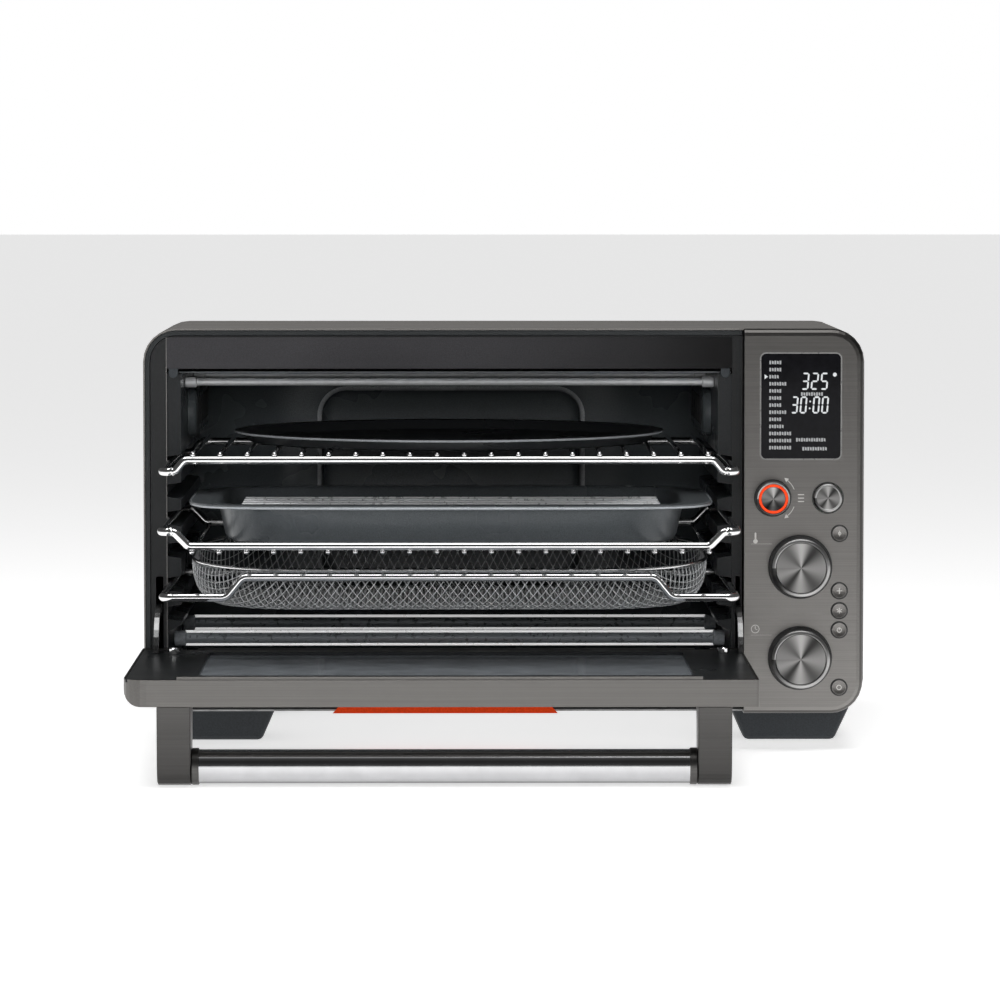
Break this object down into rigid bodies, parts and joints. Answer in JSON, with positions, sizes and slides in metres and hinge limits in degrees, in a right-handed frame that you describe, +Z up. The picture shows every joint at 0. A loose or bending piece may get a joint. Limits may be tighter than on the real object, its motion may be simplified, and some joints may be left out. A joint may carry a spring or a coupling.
{
  "type": "toaster oven",
  "caption": "Wide countertop toaster oven with a drop-down glass door, pull-out wire racks, pans, mesh basket, heaters, fan and a dial and display control panel.",
  "frame": {"origin": "centre of the bounding box's base at rest, on the table, with the door open", "axes": "+Z up, -Y towards the user and the open door, +X to the right where the controls are"},
  "size_m": [0.546, 0.633, 0.319],
  "materials": {
    "casing": "dark grey satin",
    "black_stainless": "brushed, dark tinted",
    "trim": "satin black",
    "enamel": "dark enamel",
    "galvanised": "plated sheet",
    "chrome": "polished",
    "mesh": "expanded wire mesh",
    "quartz": "frosted quartz tube",
    "glass": "dark tinted, clear gloss",
    "rubber": "moulded, matt",
    "orange": "orange-red lip",
    "board": "circuit board with encoders and display"
  },
  "bodies": {
    "oven_body": {"outer_shell": "casing", "rear_panel": "casing", "control_panel": "black_stainless", "header_panel": "black_stainless", "bezel_trim": "trim", "front_frame": "trim", "cavity_left_wall": "enamel", "cavity_right_wall": "enamel", "cavity_top_wall": "enamel", "cavity_back_wall": "enamel", "lamp_cover": "enamel", "fan_grille": "enamel", "base_pan": "galvanised", "heat_shield": "galvanised", "left_hinge_bracket": "galvanised", "right_hinge_bracket": "galvanised", "fan_motor": "galvanised", "heater_top_front": "quartz", "heater_top_rear": "quartz", "heater_bottom_front": "quartz", "heater_bottom_rear": "quartz", "lamp_bulb": "quartz", "display_window": "glass", "front_left_foot": "rubber", "front_right_foot": "rubber", "rear_left_foot": "rubber", "rear_right_foot": "rubber", "cord_inlet": "rubber", "control_board": "board"},
    "door": {"door_frame": "black_stainless", "door_inner_panel": "enamel", "door_outer_glass": "glass", "door_inner_glass": "glass", "left_hinge_arm": "chrome", "right_hinge_arm": "chrome", "left_handle_bracket": "black_stainless", "right_handle_bracket": "black_stainless", "left_rack_magnet": "chrome", "right_rack_magnet": "chrome", "handle_bar": "chrome"},
    "upper_rack": {"upper_rack": "chrome"},
    "pizza_pan": {"pizza_pan": "enamel"},
    "middle_rack": {"middle_rack": "chrome"},
    "roasting_pan": {"roasting_pan": "enamel", "broil_rack": "chrome"},
    "basket": {"basket_frame": "chrome", "basket_mesh": "mesh"},
    "crumb_tray": {"crumb_tray": "galvanised", "crumb_tray_grip": "orange"},
    "temperature_knob": {"temperature_knob": "black_stainless"},
    "time_knob": {"time_knob": "black_stainless"},
    "select_shaft": {"select_shaft": "galvanised"},
    "select_dial": {"select_dial": "black_stainless"},
    "start_button": {"start_button": "black_stainless"},
    "fan_wheel": {"fan_wheel": "galvanised"},
    "unit_button": {"unit_button": "black_stainless"},
    "convection_button": {"convection_button": "black_stainless"},
    "frozen_button": {"frozen_button": "black_stainless"},
    "repeat_button": {"repeat_button": "black_stainless"},
    "light_button": {"light_button": "black_stainless"}
  },
  "joints": [
    {"name": "door_hinge", "type": "hinge", "parent": "oven_body", "child": "door", "pos_m": [-0.047, -0.0655, 0.0645], "axis": [-1, 0, 0], "range_deg": [0, 90]},
    {"name": "upper_rack_slide", "type": "slide", "parent": "oven_body", "child": "upper_rack", "axis": [0, 1, 0], "range_m": [0, 0.136]},
    {"name": "middle_rack_slide", "type": "slide", "parent": "oven_body", "child": "middle_rack", "axis": [0, 1, 0], "range_m": [0, 0.156]},
    {"name": "basket_slide", "type": "slide", "parent": "oven_body", "child": "basket", "axis": [0, 1, 0], "range_m": [0, 0.156]},
    {"name": "pizza_pan_slide", "type": "slide", "parent": "upper_rack", "child": "pizza_pan", "axis": [0, 1, 0], "range_m": [-0.48, 0]},
    {"name": "roasting_pan_lift", "type": "slide", "parent": "middle_rack", "child": "roasting_pan", "axis": [0, 0, 1], "range_m": [0, 0.016]},
    {"name": "crumb_tray_slide", "type": "slide", "parent": "oven_body", "child": "crumb_tray", "axis": [0, -1, 0], "range_m": [0, 0.2]},
    {"name": "temperature_turn", "type": "hinge", "parent": "oven_body", "child": "temperature_knob", "pos_m": [0.2238, -0.066, 0.1394], "axis": [0, -1, 0], "continuous": true},
    {"name": "time_turn", "type": "hinge", "parent": "oven_body", "child": "time_knob", "pos_m": [0.2238, -0.066, 0.0703], "axis": [0, -1, 0], "continuous": true},
    {"name": "select_push", "type": "slide", "parent": "oven_body", "child": "select_shaft", "axis": [0, 1, 0], "range_m": [0, 0.0012], "stiffness_N_per_m": 400},
    {"name": "select_turn", "type": "hinge", "parent": "select_shaft", "child": "select_dial", "pos_m": [0.2029, -0.066, 0.1915], "axis": [0, -1, 0], "continuous": true},
    {"name": "start_push", "type": "slide", "parent": "oven_body", "child": "start_button", "axis": [0, 1, 0], "range_m": [0, 0.0015], "stiffness_N_per_m": 400},
    {"name": "unit_push", "type": "slide", "parent": "oven_body", "child": "unit_button", "axis": [0, 1, 0], "range_m": [0, 0.001], "stiffness_N_per_m": 300},
    {"name": "convection_push", "type": "slide", "parent": "oven_body", "child": "convection_button", "axis": [0, 1, 0], "range_m": [0, 0.001], "stiffness_N_per_m": 300},
    {"name": "frozen_push", "type": "slide", "parent": "oven_body", "child": "frozen_button", "axis": [0, 1, 0], "range_m": [0, 0.001], "stiffness_N_per_m": 300},
    {"name": "repeat_push", "type": "slide", "parent": "oven_body", "child": "repeat_button", "axis": [0, 1, 0], "range_m": [0, 0.001], "stiffness_N_per_m": 300},
    {"name": "light_push", "type": "slide", "parent": "oven_body", "child": "light_button", "axis": [0, 1, 0], "range_m": [0, 0.001], "stiffness_N_per_m": 300},
    {"name": "fan_spin", "type": "hinge", "parent": "oven_body", "child": "fan_wheel", "pos_m": [0.203, 0.1365, 0.195], "axis": [1, 0, 0], "continuous": true}
  ],
  "couplings": [
    {"joint": "upper_rack_slide", "follows": "door_hinge", "m_per_rad": 0.085944},
    {"joint": "middle_rack_slide", "follows": "door_hinge", "m_per_rad": 0.098676},
    {"joint": "basket_slide", "follows": "door_hinge", "m_per_rad": 0.098676}
  ]
}
